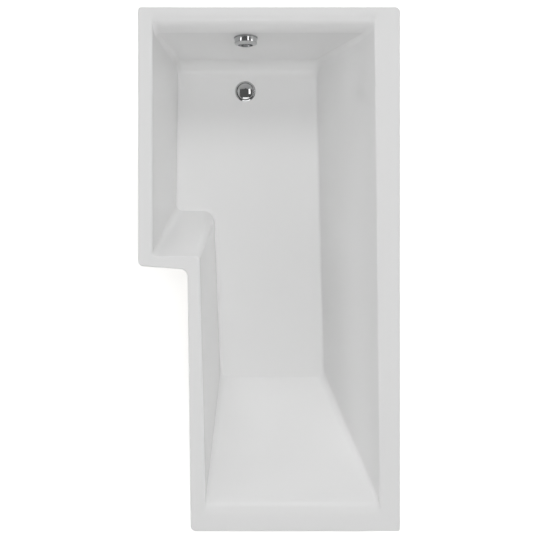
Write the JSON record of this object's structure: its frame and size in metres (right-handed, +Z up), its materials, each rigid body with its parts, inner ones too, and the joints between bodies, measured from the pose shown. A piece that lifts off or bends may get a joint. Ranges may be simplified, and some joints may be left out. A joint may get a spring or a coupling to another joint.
{
  "type": "shower bath",
  "caption": "L-shaped acrylic shower bath with a square stepped front, a sloping backrest, a steel-framed base on adjustable legs and a rotary pop-up waste with overflow.",
  "frame": {"origin": "on the room's floor, under the middle of the rim's bounding box", "axes": "+Y along the bath towards the shower end with the waste, +X towards the room's wall, +Z up"},
  "size_m": [0.85, 1.7, 0.56],
  "materials": {
    "acrylic": "gloss",
    "glass_fibre": "rough",
    "chipboard": "raw",
    "galvanised_steel": "galvanised",
    "zinc_steel": "bright zinc",
    "chrome": "polished",
    "white_plastic": "moulded",
    "hose_plastic": "satin",
    "black_plastic": "moulded",
    "cable_sheath": "satin",
    "rubber": "matte"
  },
  "bodies": {
    "bath": {"bath_shell": "acrylic", "glass_fibre_backing": "glass_fibre", "base_board": "chipboard", "rim_batten_front": "chipboard", "rim_batten_step": "chipboard", "rim_batten_narrow": "chipboard", "rim_batten_head": "chipboard", "rim_batten_wall": "chipboard", "rim_batten_plug": "chipboard", "cradle_plug_end": "galvanised_steel", "cradle_head_end": "galvanised_steel", "step_bar": "galvanised_steel", "cradle_screws": "zinc_steel", "leg_nuts": "zinc_steel", "wall_bracket_1": "galvanised_steel", "wall_bracket_2": "galvanised_steel", "wall_bracket_3": "galvanised_steel", "bracket_screws": "zinc_steel", "waste_flange": "chrome", "body_gasket": "rubber", "waste_body": "white_plastic", "lever_pin": "zinc_steel", "overflow_flange": "chrome", "overflow_gasket": "rubber", "overflow_body": "white_plastic", "overflow_screws": "zinc_steel", "hose_nut_top": "black_plastic", "hose_nut_bottom": "black_plastic", "overflow_hose": "hose_plastic", "control_cable": "cable_sheath", "cable_gland_top": "black_plastic", "cable_gland_bottom": "black_plastic"},
    "plug": {"waste_plug": "chrome", "plug_stem": "chrome", "plug_seal": "rubber"},
    "knob": {"overflow_knob": "chrome", "knob_spindle": "zinc_steel"},
    "lift_lever": {"lift_lever": "black_plastic"},
    "leg_1": {"leg_stud_1": "zinc_steel", "foot_1": "black_plastic"},
    "leg_2": {"leg_stud_2": "zinc_steel", "foot_2": "black_plastic"},
    "leg_3": {"leg_stud_3": "zinc_steel", "foot_3": "black_plastic"},
    "leg_4": {"leg_stud_4": "zinc_steel", "foot_4": "black_plastic"},
    "leg_5": {"leg_stud_5": "zinc_steel", "foot_5": "black_plastic"}
  },
  "joints": [
    {"name": "knob_turn", "type": "hinge", "parent": "bath", "child": "knob", "pos_m": [-0.077, 0.76694, 0.4597], "axis": [0, -0.9907, 0.1359], "range_deg": [0, 110]},
    {"name": "plug_lift", "type": "slide", "parent": "bath", "child": "plug", "axis": [0, 0, 1], "range_m": [0, 0.01203]},
    {"name": "lever_turn", "type": "hinge", "parent": "bath", "child": "lift_lever", "pos_m": [-0.064, 0.628, 0.1188], "axis": [0, 1, 0], "range_deg": [0, 35]},
    {"name": "leg_1_height", "type": "slide", "parent": "bath", "child": "leg_1", "axis": [0, 0, 1], "range_m": [-0.02, 0.02]},
    {"name": "leg_2_height", "type": "slide", "parent": "bath", "child": "leg_2", "axis": [0, 0, 1], "range_m": [-0.02, 0.02]},
    {"name": "leg_3_height", "type": "slide", "parent": "bath", "child": "leg_3", "axis": [0, 0, 1], "range_m": [-0.02, 0.02]},
    {"name": "leg_4_height", "type": "slide", "parent": "bath", "child": "leg_4", "axis": [0, 0, 1], "range_m": [-0.02, 0.02]},
    {"name": "leg_5_height", "type": "slide", "parent": "bath", "child": "leg_5", "axis": [0, 0, 1], "range_m": [-0.02, 0.02]}
  ],
  "couplings": [
    {"joint": "plug_lift", "follows": "knob_turn", "m_per_rad": 0.006265},
    {"joint": "lever_turn", "follows": "knob_turn", "ratio": 0.3181}
  ]
}
